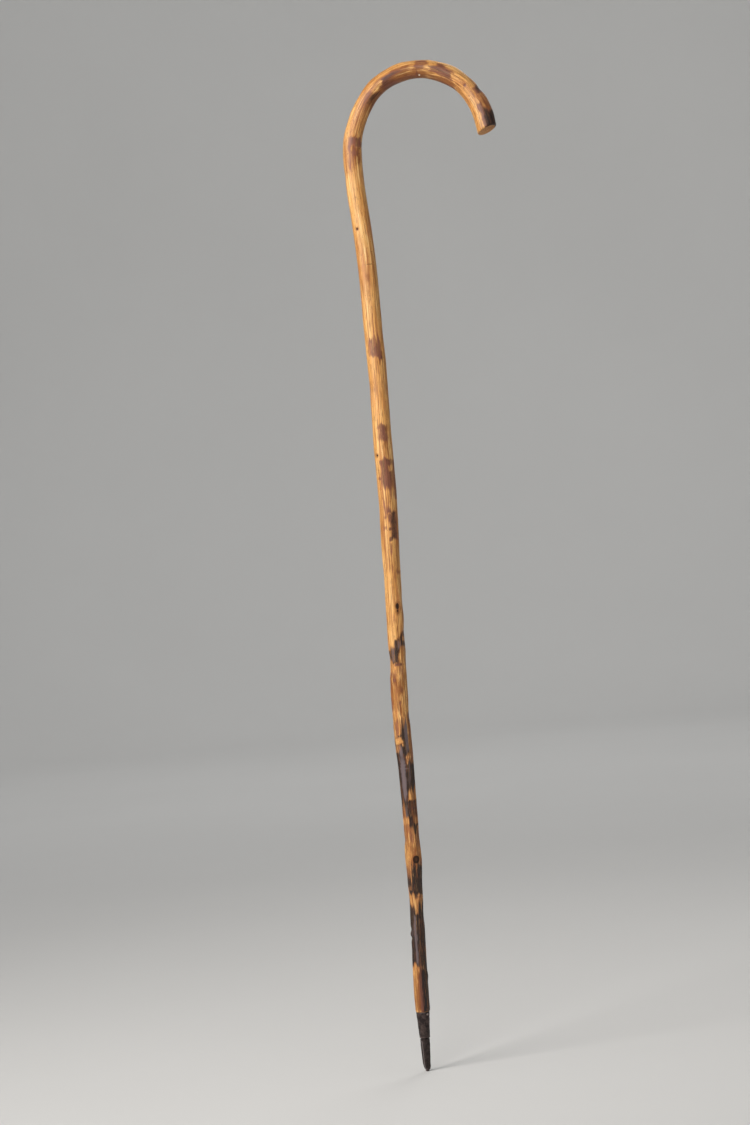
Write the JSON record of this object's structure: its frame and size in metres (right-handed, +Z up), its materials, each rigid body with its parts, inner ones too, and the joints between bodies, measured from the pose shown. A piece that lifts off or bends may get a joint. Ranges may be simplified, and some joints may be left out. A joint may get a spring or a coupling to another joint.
{
  "type": "single point cane",
  "caption": "Crook-handled walking stick of steam-bent, flame-mottled knotty hardwood, shod with a tapered iron ferrule that carries a blunt iron spike.",
  "frame": {"origin": "middle of the small worn flat at the very end of the spike, where the stick meets the ground", "axes": "+Z up the shaft, +X the way the crook turns over, -Y the side the crook's open end leans towards"},
  "size_m": [0.1383, 0.0253, 0.8997],
  "materials": {
    "scorched_wood": "honey-coloured debarked hardwood with brown and black scorch marks, under worn clear lacquer",
    "ferrule_iron": "dark forged iron, hand-worn, with a faint brown bloom",
    "spike_iron": "forged iron, rubbed brighter along its edges and towards the point",
    "tack_iron": "small forged iron tack head, slightly polished by wear"
  },
  "bodies": {
    "root": {"stick": "scorched_wood", "ferrule_sleeve": "ferrule_iron", "spike": "spike_iron", "ferrule_tack_front": "tack_iron", "ferrule_tack_back": "tack_iron"}
  },
  "joints": []
}
